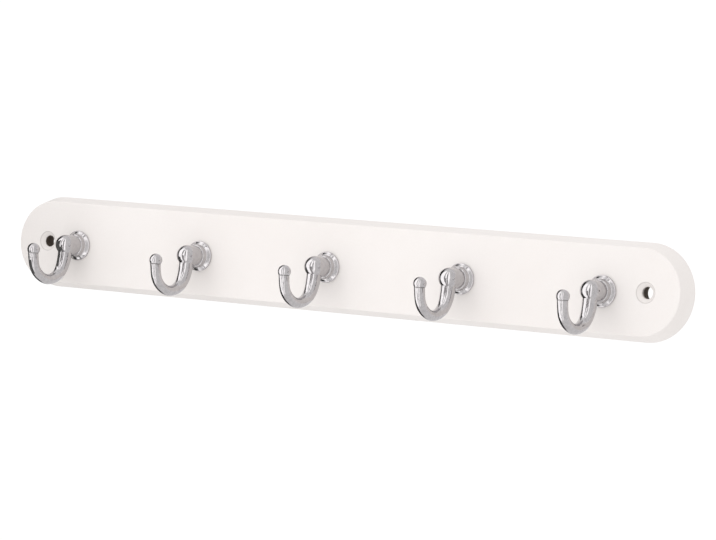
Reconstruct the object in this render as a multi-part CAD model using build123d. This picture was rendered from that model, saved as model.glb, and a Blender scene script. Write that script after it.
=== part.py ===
from build123d import *
import math
import os

# Key hook rack: a painted board with full-round ends, five cast J hooks in a
# row, each held from behind by one pan-head screw sunk in the back.
# Frame: X along the board, Z up, the back face lies in Y = 0 and the front
# looks along -Y. The origin is the middle of the back face.

# ---- driving dimensions, millimetres ----
board_length = 380.0
board_height = 45.0
board_thick = 10.0
edge_slope = 2.6             # the edge slopes in this far on its way to the face
edge_land = 1.2              # straight part of the edge, at the back
face_soft = 0.6              # soft arris round the face
back_arris = 0.5             # eased edge round the back

wall_hole_x = 170.0          # wall holes, each side of the middle
wall_hole_d = 5.6
wall_csk_d = 9.6             # 90 degree countersink, front
wall_relief_d = 8.0          # relief on the back of each wall hole
wall_relief_depth = 4.5

hook_pitch = 74.6
hook_count = 5
hook_shift = -1.15           # middle of the row against the board's middle
hook_z = -1.0                # hook axis against the board's middle line

screw_clear_d = 4.5          # hole in the board behind each hook
screw_cbore_d = 9.0
screw_cbore_depth = 4.5

# hook base and stem: distance out from the board's face, radius
flange_foot_r = 6.95         # flat on the board
flange_r = 7.35              # rounded rim
flange_rim_out = 0.53
flange_front_r = 6.92        # the front slopes back from the drum to here
flange_front_out = 1.04
flange_face_r = 5.95
flange_face_out = 1.88
drum_root_r = 5.62
drum_root_out = 2.10
drum_r = 5.32
drum_out = 3.70
stem_root_out = 4.20
stem_root_r = 4.86
ball_r = 5.0                 # the stem ends in half a ball of this radius
ball_out = 10.40             # middle of that ball

# arm centre line: distance out from the board's face, height against the axis
arm_line = [
    (10.45, -1.0), (10.55, -4.6), (11.25, -8.9), (13.70, -13.75),
    (18.00, -16.6), (23.65, -17.35), (29.60, -15.25), (33.80, -10.75),
    (35.15, -5.6), (35.20, -3.0),
]
# arm radius along that line, by share of its length
arm_radius = [(0.0, 3.50), (0.09, 3.48), (0.18, 3.34), (0.30, 2.98),
              (0.40, 2.70), (0.52, 2.50), (0.65, 2.42), (0.80, 2.45),
              (1.0, 2.54)]
arm_sections = 15
tip_r = 3.08
arm_crease = 0.3             # small radius where the arm leaves the stem
tip_crease = 0.2             # and where the arm meets the ball

# hook screw
thread_d = 3.9
thread_len = 12.0
tapped_d = 4.0
tapped_depth = 8.2
head_d = 8.0
head_h = 3.1
recess_w = 4.3
recess_t = 1.15
recess_depth = 2.1


def radius_at(share):
    for (a, ra), (b, rb) in zip(arm_radius[:-1], arm_radius[1:]):
        if share <= b:
            t = (share - a) / (b - a)
            return ra + (rb - ra) * t
    return arm_radius[-1][1]


# ---- board ----
outline = SlotOverall(board_length, board_height)
board = extrude(Plane.XZ * outline, amount=edge_land)
slope_deep = board_thick - edge_land
board += extrude(Plane.XZ.offset(edge_land) * outline, amount=slope_deep,
                 taper=math.degrees(math.atan(edge_slope / slope_deep)))
face_rim = board.faces().sort_by(Axis.Y)[0].outer_wire().edges()
board = fillet(face_rim, face_soft)
back_rim = board.faces().sort_by(Axis.Y)[-1].outer_wire().edges()
board = chamfer(back_rim, back_arris)


def bore(x, z, d, y_from, y_to):
    depth = abs(y_to - y_from)
    mid = (y_from + y_to) / 2
    return Pos(x, mid, z) * Rot(90, 0, 0) * Cylinder(d / 2, depth)


csk_depth = (wall_csk_d - wall_hole_d) / 2
for side in (-1, 1):
    x = side * wall_hole_x
    board -= bore(x, 0, wall_hole_d, -board_thick - 1, 1)
    board -= bore(x, 0, wall_relief_d, -wall_relief_depth, 1)
    over = 0.4
    cone = Cone(wall_hole_d / 2, wall_csk_d / 2 + over, csk_depth + over)
    board -= (Pos(x, -board_thick + (csk_depth - over) / 2, 0)
              * Rot(90, 0, 0) * cone)

hook_x = [hook_shift + (i - (hook_count - 1) / 2) * hook_pitch
          for i in range(hook_count)]
for x in hook_x:
    board -= bore(x, hook_z, screw_clear_d, -board_thick - 1, 1)
    board -= bore(x, hook_z, screw_cbore_d, -screw_cbore_depth, 1)


# ---- one hook, its axis along local Z (out from the board), then turned ----
def arc_mid(a, b, bulge):
    """Point half way from a to b, pushed out sideways by the bulge."""
    dx, dy = b[0] - a[0], b[1] - a[1]
    n = math.hypot(dx, dy)
    return ((a[0] + b[0]) / 2 + dy / n * bulge,
            (a[1] + b[1]) / 2 - dx / n * bulge)


def make_base():
    foot = (flange_foot_r, 0)
    rim = (flange_r, flange_rim_out)
    front = (flange_front_r, flange_front_out)
    face = (flange_face_r, flange_face_out)
    root = (drum_root_r, drum_root_out)
    drum = (drum_r, drum_out)
    step = (stem_root_r + 0.12, stem_root_out - 0.02)
    crease = (stem_root_r, stem_root_out + 0.1)
    ball = (ball_r, ball_out)
    ball_mid = (ball_r * math.sqrt(0.5), ball_out + ball_r * math.sqrt(0.5))
    tip = (0, ball_out + ball_r)
    with BuildPart() as base:
        with BuildSketch(Plane.XZ):
            with BuildLine():
                Line((0, 0), foot)
                ThreePointArc(foot, rim, front)
                Line(front, face)
                ThreePointArc(face, arc_mid(face, root, -0.05), root)
                Line(root, drum)
                ThreePointArc(drum, arc_mid(drum, step, 0.1), step)
                Line(step, crease)
                Line(crease, ball)
                ThreePointArc(ball, ball_mid, tip)
                Line(tip, (0, 0))
            make_face()
        revolve(axis=Axis.Z)
    return base.part


def make_arm():
    pts = [Vector(0, -out, z) for out, z in arm_line]
    line = Spline(*pts, tangents=[(0, 0, -1), (0, 0, 1)])
    rings = []
    for i in range(arm_sections):
        t = i / (arm_sections - 1)
        way = line % t
        plane = Plane(origin=line @ t, x_dir=way.cross(Vector(1, 0, 0)), z_dir=way)
        rings.append(plane * Circle(radius_at(t)))
    return loft(rings)


base = Rot(90, 0, 0) * make_base()
arm = make_arm()
tip_out, tip_h = arm_line[-1]
tip = Pos(0, -tip_out, tip_h) * Rot(0, 0, 45) * Sphere(tip_r)
hook = base + arm + tip


def is_crease(e):
    return e.geom_type == GeomType.BSPLINE and e.length < 30


hook = hook.solids()[0]
hook = hook.fillet(tip_crease, [e for e in hook.edges() if is_crease(e)
                                and e.center().Y < -30])
hook = hook.fillet(arm_crease, [e for e in hook.edges() if is_crease(e)
                                and e.center().Y > -20])

# tapped hole in the base, with a drill point and an eased mouth
point_h = tapped_d / 2 / math.tan(math.radians(59))
hook -= Pos(0, -tapped_depth / 2 + 0.5, 0) * Rot(90, 0, 0) * Cylinder(
    tapped_d / 2, tapped_depth + 1.0)
hook -= Pos(0, -tapped_depth - point_h / 2, 0) * Rot(90, 0, 0) * Cone(
    tapped_d / 2, 0, point_h)
hook -= Pos(0, -0.2, 0) * Rot(90, 0, 0) * Cone(
    tapped_d / 2 + 0.4, tapped_d / 2, 0.4)


# ---- one screw, head seat at local Z = 0, thread along +Z ----
def make_screw():
    with BuildPart() as screw:
        with BuildSketch(Plane.XZ):
            with BuildLine():
                Polyline((0, 0), (0, thread_len), (thread_d / 2 - 0.45, thread_len),
                         (thread_d / 2, thread_len - 0.6), (thread_d / 2, 0),
                         (head_d / 2 - 0.1, 0), (head_d / 2, -0.12),
                         (head_d / 2, -0.9))
                ThreePointArc((head_d / 2, -0.9), (head_d / 2 * 0.72, -2.55),
                              (head_d / 2 * 0.3, -head_h))
                Line((head_d / 2 * 0.3, -head_h), (0, -head_h))
                Line((0, -head_h), (0, 0))
            make_face()
        revolve(axis=Axis.Z)
    body = screw.part
    top = Plane(origin=(0, 0, -head_h), z_dir=(0, 0, 1))
    for turn in (0, 90):
        bar = top * Rot(0, 0, turn) * Rectangle(recess_w, recess_t)
        body -= extrude(bar, amount=recess_depth, taper=8)
    return body


screw = Rot(90, 0, 0) * make_screw()

# ---- place and write ----
os.makedirs("parts", exist_ok=True)
export_step(board, "parts/board.step")
for i, x in enumerate(hook_x):
    export_step(Pos(x, -board_thick, hook_z) * hook,
                "parts/hook_%d.step" % (i + 1))
screws = Compound(children=[
    Pos(x, -screw_cbore_depth, hook_z) * Rot(0, 12 + 31 * i, 0) * screw
    for i, x in enumerate(hook_x)])
export_step(screws, "parts/hook_fixing_screws.step")
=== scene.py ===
import math

import bpy
from mathutils import Matrix, Vector

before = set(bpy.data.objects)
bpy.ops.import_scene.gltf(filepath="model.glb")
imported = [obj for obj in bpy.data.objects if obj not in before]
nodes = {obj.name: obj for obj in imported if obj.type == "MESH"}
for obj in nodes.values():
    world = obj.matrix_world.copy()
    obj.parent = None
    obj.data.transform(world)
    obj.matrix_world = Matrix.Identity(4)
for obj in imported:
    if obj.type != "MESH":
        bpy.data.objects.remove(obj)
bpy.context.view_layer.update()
scene = bpy.context.scene

# ---------------------------------------------------------------- dimensions
MM = 0.001
THICK = 10 * MM
HOOK_X = [((i - 2) * 74.6 - 1.15) * MM for i in range(5)]
HOOK_Z = -1.0 * MM
WALL_X = 170 * MM


# ---------------------------------------------------------------- node helpers
def new_material(name):
    mat = bpy.data.materials.new(name)
    mat.use_nodes = True
    nt = mat.node_tree
    for n in list(nt.nodes):
        nt.nodes.remove(n)
    out = nt.nodes.new("ShaderNodeOutputMaterial")
    bsdf = nt.nodes.new("ShaderNodeBsdfPrincipled")
    nt.links.new(bsdf.outputs["BSDF"], out.inputs["Surface"])
    return mat, nt, bsdf


def math_node(nt, op, a, b=None, c=None, clamp=False):
    n = nt.nodes.new("ShaderNodeMath")
    n.operation = op
    n.use_clamp = clamp
    for i, v in enumerate((a, b, c)):
        if v is None:
            continue
        if isinstance(v, (int, float)):
            n.inputs[i].default_value = v
        else:
            nt.links.new(v, n.inputs[i])
    return n.outputs[0]


def position(nt):
    tc = nt.nodes.new("ShaderNodeTexCoord")
    sep = nt.nodes.new("ShaderNodeSeparateXYZ")
    nt.links.new(tc.outputs["Object"], sep.inputs[0])
    return tc.outputs["Object"], sep.outputs[0], sep.outputs[1], sep.outputs[2]


def noise(nt, vec, scale, detail=3.0, rough=0.5, distortion=0.0):
    n = nt.nodes.new("ShaderNodeTexNoise")
    n.inputs["Scale"].default_value = scale
    n.inputs["Detail"].default_value = detail
    n.inputs["Roughness"].default_value = rough
    n.inputs["Distortion"].default_value = distortion
    nt.links.new(vec, n.inputs["Vector"])
    return n.outputs["Fac"]


def remap(nt, v, a, b, c, d, smooth=True):
    n = nt.nodes.new("ShaderNodeMapRange")
    n.interpolation_type = "SMOOTHSTEP" if smooth else "LINEAR"
    n.clamp = True
    nt.links.new(v, n.inputs["Value"])
    n.inputs["From Min"].default_value = a
    n.inputs["From Max"].default_value = b
    n.inputs["To Min"].default_value = c
    n.inputs["To Max"].default_value = d
    return n.outputs["Result"]


def mix_color(nt, fac, a, b):
    n = nt.nodes.new("ShaderNodeMix")
    n.data_type = "RGBA"
    if isinstance(fac, (int, float)):
        n.inputs[0].default_value = fac
    else:
        nt.links.new(fac, n.inputs[0])
    for i, v in ((6, a), (7, b)):
        if isinstance(v, tuple):
            n.inputs[i].default_value = (*v, 1.0)
        else:
            nt.links.new(v, n.inputs[i])
    return n.outputs[2]


def mix_value(nt, fac, a, b):
    n = nt.nodes.new("ShaderNodeMix")
    n.data_type = "FLOAT"
    for i, v in ((0, fac), (2, a), (3, b)):
        if isinstance(v, (int, float)):
            n.inputs[i].default_value = v
        else:
            nt.links.new(v, n.inputs[i])
    return n.outputs[0]


def bump(nt, height, strength, distance, normal=None):
    n = nt.nodes.new("ShaderNodeBump")
    n.inputs["Strength"].default_value = strength
    n.inputs["Distance"].default_value = distance
    nt.links.new(height, n.inputs["Height"])
    if normal is not None:
        nt.links.new(normal, n.inputs["Normal"])
    return n.outputs["Normal"]


# ---------------------------------------------------------------- materials
PAINT_LOW = (0.885, 0.846, 0.820)
PAINT_HIGH = (0.905, 0.870, 0.847)


def board_material():
    mat, nt, bsdf = new_material("board_paint")
    vec, x, y, z = position(nt)

    def ring(cx, cz, mirror):
        dx = math_node(nt, "SUBTRACT", math_node(nt, "ABSOLUTE", x) if mirror else x, cx)
        dz = math_node(nt, "SUBTRACT", z, cz)
        return math_node(nt, "SQRT", math_node(nt, "ADD", math_node(nt, "MULTIPLY", dx, dx), math_node(nt, "MULTIPLY", dz, dz)))

    # unpainted fibreboard, coloured dark as painted shade, in the drilled holes: the wall holes behind their
    # countersinks with their reliefs, and the counterbores behind the hooks. Overspray fades out over the first
    # millimetres of each wall hole.
    wall = ring(WALL_X, 0.0, True)
    spray = noise(nt, vec, 1400.0, 2.0, 0.5)
    depth = math_node(nt, "ADD", y, math_node(nt, "MULTIPLY", math_node(nt, "SUBTRACT", spray, 0.5), 1.6 * MM))
    # the paint reaches deeper into the right hole than into the left, as painted light on the lit front of that
    # hole's wall
    side = remap(nt, x, -10 * MM, 10 * MM, 0, 1)
    sprayed_and_lit = mix_value(nt, side, remap(nt, depth, -8.3 * MM, -7.5 * MM, 0, 1), remap(nt, depth, -8.3 * MM, -5.7 * MM, 0, 1))
    bore = math_node(nt, "MULTIPLY", remap(nt, wall, 2.86 * MM, 2.94 * MM, 1, 0), sprayed_and_lit)
    relief = math_node(nt, "MULTIPLY", remap(nt, wall, 4.03 * MM, 4.12 * MM, 1, 0), remap(nt, y, -4.9 * MM, -4.6 * MM, 0, 1))
    bare_and_shade = math_node(nt, "MAXIMUM", bore, relief)
    for hx in HOOK_X:
        cb = ring(hx, HOOK_Z, False)
        bare_and_shade = math_node(nt, "MAXIMUM", bare_and_shade, remap(nt, cb, 4.52 * MM, 4.60 * MM, 1, 0))
    # the front face keeps its paint round the hooks
    behind = remap(nt, y, -9.7 * MM, -9.4 * MM, 0, 1)
    bare_and_shade = math_node(nt, "MULTIPLY", bare_and_shade, behind)

    # paint: faint clouding, roller stipple and a trace of dust in the film
    cloud = noise(nt, vec, 22.0, 4.0, 0.55)
    fine = noise(nt, vec, 900.0, 3.0, 0.6)
    tone = math_node(nt, "ADD", math_node(nt, "MULTIPLY", cloud, 0.7), math_node(nt, "MULTIPLY", fine, 0.3))
    paint = mix_color(nt, remap(nt, tone, 0.35, 0.65, 0, 1), PAINT_LOW, PAINT_HIGH)
    # painted shade: a thin darker ring round the sharp edge of each countersink, on the front face
    rim_shade = math_node(nt, "MULTIPLY", remap(nt, wall, 4.35 * MM, 4.6 * MM, 0, 1), remap(nt, wall, 4.8 * MM, 5.0 * MM, 1, 0))
    rim_shade = math_node(nt, "MULTIPLY", rim_shade, remap(nt, y, -9.3 * MM, -8.8 * MM, 1, 0))
    paint = mix_color(nt, math_node(nt, "MULTIPLY", rim_shade, 0.35), paint, (0.33, 0.31, 0.29))
    # the unpainted fibre colour is its own brown made very dark, as painted shade inside the holes
    fibre = noise(nt, vec, 2600.0, 3.0, 0.6)
    raw_and_shade = mix_color(nt, fibre, (0.055, 0.042, 0.033), (0.135, 0.105, 0.083))
    col = mix_color(nt, bare_and_shade, paint, raw_and_shade)
    nt.links.new(col, bsdf.inputs["Base Color"])
    rough = mix_value(nt, bare_and_shade, remap(nt, fine, 0.3, 0.7, 0.42, 0.56), 0.9)
    nt.links.new(rough, bsdf.inputs["Roughness"])
    bsdf.inputs["Specular IOR Level"].default_value = 0.35
    peel = noise(nt, vec, 420.0, 2.0, 0.45)
    grit = noise(nt, vec, 3500.0, 2.0, 0.5)
    n1 = bump(nt, peel, 0.12, 0.06 * MM)
    n2 = bump(nt, grit, 0.10, 0.012 * MM, n1)
    nt.links.new(n2, bsdf.inputs["Normal"])
    return mat


def chrome_material():
    mat, nt, bsdf = new_material("hook_chrome")
    vec, x, y, z = position(nt)
    # slow waves left by the casting under the plating, drawn out along the arm
    mp = nt.nodes.new("ShaderNodeMapping")
    mp.inputs["Scale"].default_value = (1.0, 1.0, 0.28)
    nt.links.new(vec, mp.inputs["Vector"])
    wave = noise(nt, mp.outputs["Vector"], 420.0, 2.0, 0.5)
    ripple = noise(nt, mp.outputs["Vector"], 1500.0, 2.0, 0.5)
    haze = noise(nt, vec, 700.0, 4.0, 0.6)
    col = mix_color(nt, remap(nt, haze, 0.35, 0.7, 0, 1), (0.535, 0.52, 0.525), (0.47, 0.455, 0.465))
    # painted shade: the crease under the ball at the tip is darkened in patches, and made rougher there
    crease = math_node(nt, "MULTIPLY", remap(nt, z, -6.08 * MM, -5.84 * MM, 0, 1), remap(nt, z, -5.68 * MM, -5.44 * MM, 1, 0))
    crease = math_node(nt, "MULTIPLY", crease, remap(nt, y, -41 * MM, -39 * MM, 1, 0))
    crease_shade = math_node(nt, "MULTIPLY", crease, remap(nt, haze, 0.35, 0.65, 0.5, 0.9))
    col = mix_color(nt, crease_shade, col, (0.10, 0.094, 0.09))
    nt.links.new(col, bsdf.inputs["Base Color"])
    bsdf.inputs["Metallic"].default_value = 1.0
    rough = mix_value(nt, crease_shade, remap(nt, haze, 0.3, 0.75, 0.05, 0.11), 0.45)
    nt.links.new(rough, bsdf.inputs["Roughness"])
    n1 = bump(nt, wave, 0.5, 0.18 * MM)
    n2 = bump(nt, ripple, 0.3, 0.05 * MM, n1)
    nt.links.new(n2, bsdf.inputs["Normal"])
    return mat


def zinc_material():
    mat, nt, bsdf = new_material("screw_zinc")
    vec, x, y, z = position(nt)
    tint = noise(nt, vec, 400.0, 3.0, 0.5)
    col = mix_color(nt, remap(nt, tint, 0.35, 0.65, 0, 1), (0.50, 0.51, 0.52), (0.60, 0.58, 0.50))
    nt.links.new(col, bsdf.inputs["Base Color"])
    bsdf.inputs["Metallic"].default_value = 1.0
    scratch = noise(nt, vec, 3000.0, 2.0, 0.5)
    nt.links.new(remap(nt, scratch, 0.3, 0.7, 0.24, 0.38), bsdf.inputs["Roughness"])
    nt.links.new(bump(nt, scratch, 0.15, 0.02 * MM), bsdf.inputs["Normal"])
    return mat


def set_material(obj, mat):
    obj.data.materials.clear()
    obj.data.materials.append(mat)


paint = board_material()
chrome = chrome_material()
zinc = zinc_material()
set_material(nodes["board"], paint)
for i in range(5):
    set_material(nodes["hook_%d" % (i + 1)], chrome)
set_material(nodes["hook_fixing_screws"], zinc)

# ---------------------------------------------------------------- floor
floor_z = -0.32
n_seg = 64
verts = [(0, 0, floor_z)] + [
    (1.0 * math.cos(2 * math.pi * k / n_seg), 1.0 * math.sin(2 * math.pi * k / n_seg), floor_z) for k in range(n_seg)]
faces = [(0, 1 + k, 1 + (k + 1) % n_seg) for k in range(n_seg)]
me = bpy.data.meshes.new("floor")
me.from_pydata(verts, [], faces)
floor = bpy.data.objects.new("floor", me)
scene.collection.objects.link(floor)
fmat, fnt, fbsdf = new_material("floor_pale")
fvec, _, _, _ = position(fnt)
fnt.links.new(mix_color(fnt, noise(fnt, fvec, 3.0), (0.965, 0.965, 0.965), (0.98, 0.98, 0.98)), fbsdf.inputs["Base Color"])
fbsdf.inputs["Roughness"].default_value = 0.9
set_material(floor, fmat)
floor.visible_glossy = False

# ---------------------------------------------------------------- studio light
LIGHT_KEY = 1.88
LIGHT_UP = 0.98
LIGHT_DOWN = 0.92
LIGHT_RIGHT = 0.90
LIGHT_GAP = 0.05
LIGHT_SEAM = 0.42
AMBIENT = 0.88
AMBIENT_UP = 0.92

world = bpy.data.worlds.new("studio")
scene.world = world
world.use_nodes = True
wt = world.node_tree
for n in list(wt.nodes):
    wt.nodes.remove(n)
wout = wt.nodes.new("ShaderNodeOutputWorld")
env = wt.nodes.new("ShaderNodeBackground")
plain = wt.nodes.new("ShaderNodeBackground")
mixw = wt.nodes.new("ShaderNodeMixShader")
lp = wt.nodes.new("ShaderNodeLightPath")
wt.links.new(lp.outputs["Is Camera Ray"], mixw.inputs[0])
wt.links.new(env.outputs[0], mixw.inputs[1])
wt.links.new(plain.outputs[0], mixw.inputs[2])
wt.links.new(mixw.outputs[0], wout.inputs["Surface"])
plain.inputs["Color"].default_value = (1, 1, 1, 1)
plain.inputs["Strength"].default_value = 1.05

# soft surroundings by direction: a broad bright front, an even grey to the
# right, and a dark gap beside the left end
wtc = wt.nodes.new("ShaderNodeTexCoord")
wsep = wt.nodes.new("ShaderNodeSeparateXYZ")
wt.links.new(wtc.outputs["Generated"], wsep.inputs[0])
wx, wy, wz = wsep.outputs
turn = math_node(wt, "ARCTAN2", wx, math_node(wt, "MULTIPLY", wy, -1.0))


def deg(v):
    return math.radians(v)


def window(v, a0, a1, b1, b0):
    return math_node(wt, "MULTIPLY", remap(wt, v, a0, a1, 0, 1), remap(wt, v, b1, b0, 1, 0))


def level(fac, a, b):
    return mix_value(wt, fac, a, b)


light = remap(wt, wz, -0.8, 0.7, LIGHT_DOWN, LIGHT_UP)
light = level(window(turn, deg(32), deg(42), deg(100), deg(125)), light, LIGHT_RIGHT)
bright = math_node(wt, "MULTIPLY", window(turn, deg(-77), deg(-65), deg(33), deg(42)), window(wz, -0.96, -0.84, 0.86, 0.98))
light = level(bright, light, LIGHT_KEY)
# the bright front is three panels side by side with narrow gaps between them
for mid in (-17, 15):
    gap = window(turn, deg(mid - 8), deg(mid - 4), deg(mid + 4), deg(mid + 8))
    light = level(math_node(wt, "MULTIPLY", gap, bright), light, LIGHT_SEAM)
dark = math_node(wt, "MULTIPLY", window(turn, deg(-150), deg(-130), deg(-77), deg(-68)), window(wz, -0.95, -0.78, 0.68, 0.86))
light = level(dark, light, LIGHT_GAP)
# the chrome mirrors these surroundings; matt surfaces get a nearly even
# ambient light, a little more from above, and the soft box gives the rest
ambient = remap(wt, wz, 0.0, 0.9, AMBIENT, AMBIENT_UP)
light = level(lp.outputs["Is Glossy Ray"], ambient, light)
env.inputs["Color"].default_value = (1.0, 0.99, 0.99, 1)
wt.links.new(light, env.inputs["Strength"])


def softbox(name, loc, target, size_x, size_y, power, color=(1, 1, 1)):
    data = bpy.data.lights.new(name, "AREA")
    data.shape = "RECTANGLE"
    data.size = size_x
    data.size_y = size_y
    data.energy = power
    data.color = color
    ob = bpy.data.objects.new(name, data)
    scene.collection.objects.link(ob)
    ob.location = loc
    ob.rotation_euler = (Vector(target) - Vector(loc)).to_track_quat("-Z", "Y").to_euler()
    return ob


key = softbox("key_front", (-0.07, -0.60, 0.20), (-0.04, 0, 0), 0.95, 0.95, 1.18)
key.visible_glossy = False

# a dark card standing off the left end, outside the picture, as the side of
# the studio that the chrome picks up on its left edges
card_line = [(-0.176, -0.066), (-0.23, -0.068), (-0.30, -0.055), (-0.38, -0.01), (-0.43, 0.07), (-0.45, 0.16)]
card_low, card_high = -0.16, 0.045
verts = [(cx, cy, cz) for cz in (card_low, card_high) for cx, cy in card_line]
n_card = len(card_line)
faces = [(k, k + 1, n_card + k + 1, n_card + k) for k in range(n_card - 1)]
# its lower front corner comes further forward
n_wing = len(verts)
verts += [(-0.160, -0.105, card_low), (-0.176, -0.066, card_low), (-0.176, -0.066, -0.020), (-0.160, -0.105, -0.034)]
faces.append((n_wing, n_wing + 1, n_wing + 2, n_wing + 3))
me = bpy.data.meshes.new("side_card")
me.from_pydata(verts, [], faces)
card = bpy.data.objects.new("side_card", me)
scene.collection.objects.link(card)
cmat, cnt, cbsdf = new_material("side_card_cloth")
cvec, _, _, _ = position(cnt)
cnt.links.new(mix_color(cnt, noise(cnt, cvec, 60.0), (0.11, 0.115, 0.11), (0.16, 0.165, 0.16)), cbsdf.inputs["Base Color"])
cbsdf.inputs["Roughness"].default_value = 0.95
# thin cloth: the chrome sees it as dark, and it shades the board's left end
# only a little
clear = cnt.nodes.new("ShaderNodeBsdfTransparent")
cmix = cnt.nodes.new("ShaderNodeMixShader")
clp = cnt.nodes.new("ShaderNodeLightPath")
cout = next(n for n in cnt.nodes if n.bl_idname == "ShaderNodeOutputMaterial")
cnt.links.new(math_node(cnt, "MAXIMUM", clp.outputs["Is Glossy Ray"], 0.25), cmix.inputs[0])
cnt.links.new(clear.outputs[0], cmix.inputs[1])
cnt.links.new(cbsdf.outputs[0], cmix.inputs[2])
cnt.links.new(cmix.outputs[0], cout.inputs["Surface"])
set_material(card, cmat)
card.visible_camera = False

# ---------------------------------------------------------------- camera
CAM = dict(f=3335.369, dist=1587.125, az=33.168, el=0.931, roll=4.390, tx=8.271, tz=-1.958)
az, el, ro = (math.radians(CAM[k]) for k in ("az", "el", "roll"))
back = Vector((math.sin(az) * math.cos(el), -math.cos(az) * math.cos(el), math.sin(el)))
right = Vector((math.cos(az), math.sin(az), 0))
up = back.cross(right)
r2 = math.cos(ro) * right + math.sin(ro) * up
u2 = -math.sin(ro) * right + math.cos(ro) * up
pos = (back * CAM["dist"] + r2 * CAM["tx"] + u2 * CAM["tz"]) * MM
cam_data = bpy.data.cameras.new("camera")
cam_data.sensor_fit = "HORIZONTAL"
cam_data.sensor_width = 36.0
cam_data.lens = CAM["f"] / 716.0 * 36.0
cam_data.clip_start = 0.01
cam_data.clip_end = 50
cam = bpy.data.objects.new("camera", cam_data)
scene.collection.objects.link(cam)
cam.matrix_world = Matrix((
    (r2.x, u2.x, back.x, pos.x),
    (r2.y, u2.y, back.y, pos.y),
    (r2.z, u2.z, back.z, pos.z),
    (0, 0, 0, 1)))
scene.camera = cam

scene.view_settings.view_transform = "Standard"
scene.view_settings.look = "None"
scene.view_settings.exposure = 0.0
scene.view_settings.gamma = 1.0
